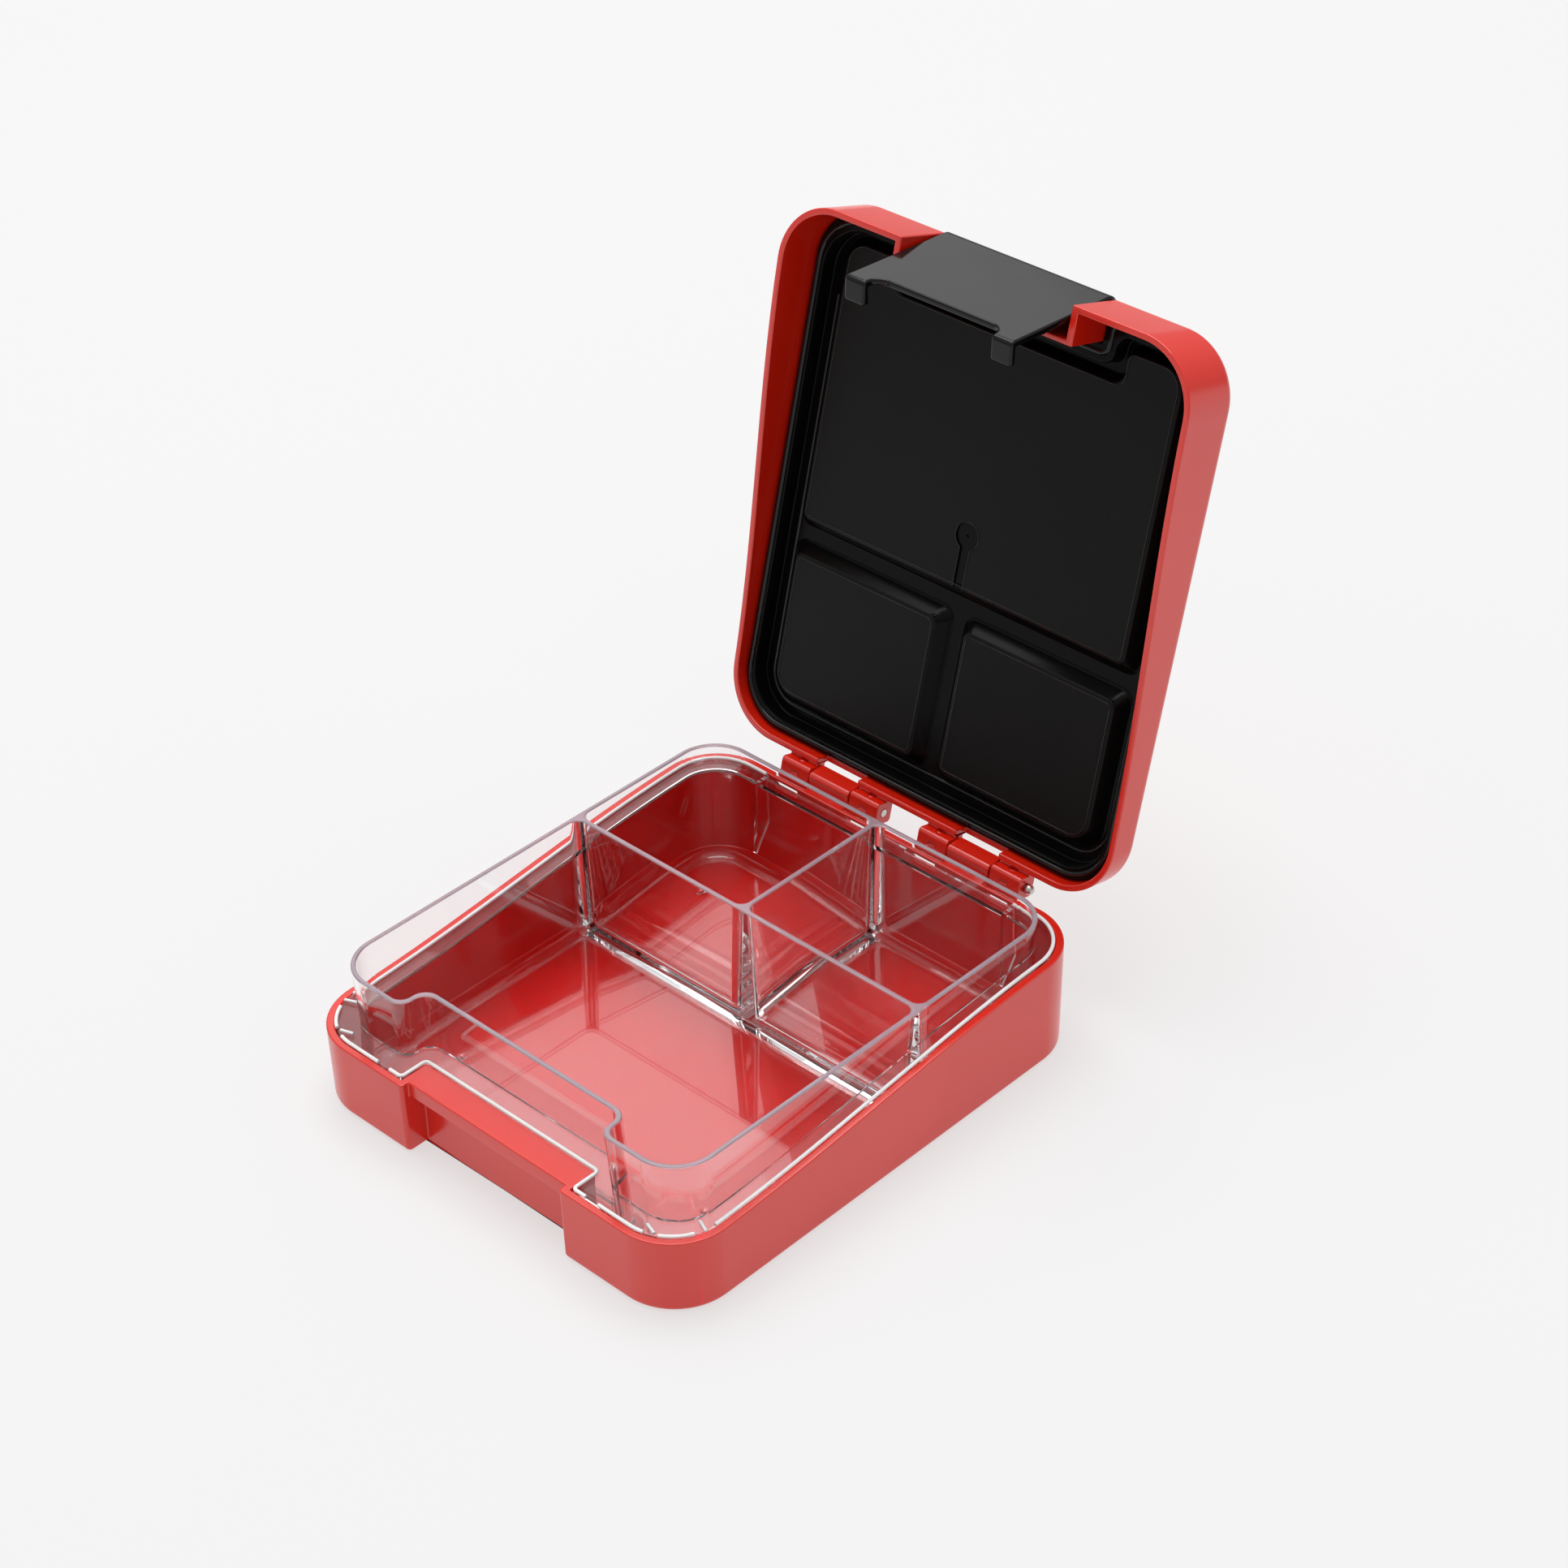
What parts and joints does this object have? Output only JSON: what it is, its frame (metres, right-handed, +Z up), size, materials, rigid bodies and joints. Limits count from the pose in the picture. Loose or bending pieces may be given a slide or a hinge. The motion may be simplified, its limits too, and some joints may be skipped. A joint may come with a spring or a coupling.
{
  "type": "lunch box",
  "caption": "Shallow hinged lunch box with a clear tray split into compartments, a padded lid liner and a wide front latch.",
  "frame": {"origin": "centre of the flat underside of the base, on the table", "axes": "+Z up, -Y towards the latch side, +Y towards the hinge side, X across the box; lid open in the resting pose"},
  "size_m": [0.155, 0.2338, 0.2117],
  "materials": {
    "red_shell": "glossy moulded",
    "clear_tray": "clear polished",
    "black_liner": "satin silicone",
    "black_latch": "glossy moulded",
    "steel_pin": "drawn wire"
  },
  "bodies": {
    "base": {"base_shell": "red_shell", "inner_tray": "clear_tray"},
    "lid": {"lid_shell": "red_shell", "lid_liner": "black_liner", "hinge_pin_left": "steel_pin", "hinge_pin_right": "steel_pin"},
    "latch_pin": {"latch_pin": "steel_pin"},
    "latch": {"latch": "black_latch"}
  },
  "joints": [
    {"name": "lid_hinge", "type": "hinge", "parent": "base", "child": "lid", "pos_m": [0, 0.091, 0.037], "axis": [1, 0, 0], "range_deg": [0, 105]},
    {"name": "latch_hang", "type": "hinge", "parent": "lid", "child": "latch_pin", "pos_m": [0, 0.14303, 0.20299], "axis": [-1, 0, 0], "range_deg": [0, 19]},
    {"name": "latch_swing", "type": "hinge", "parent": "latch_pin", "child": "latch", "pos_m": [0, 0.14303, 0.20299], "axis": [-1, 0, 0], "range_deg": [-7.4, 90]}
  ],
  "couplings": [
    {"joint": "latch_hang", "follows": "lid_hinge", "ratio": 0.18}
  ]
}
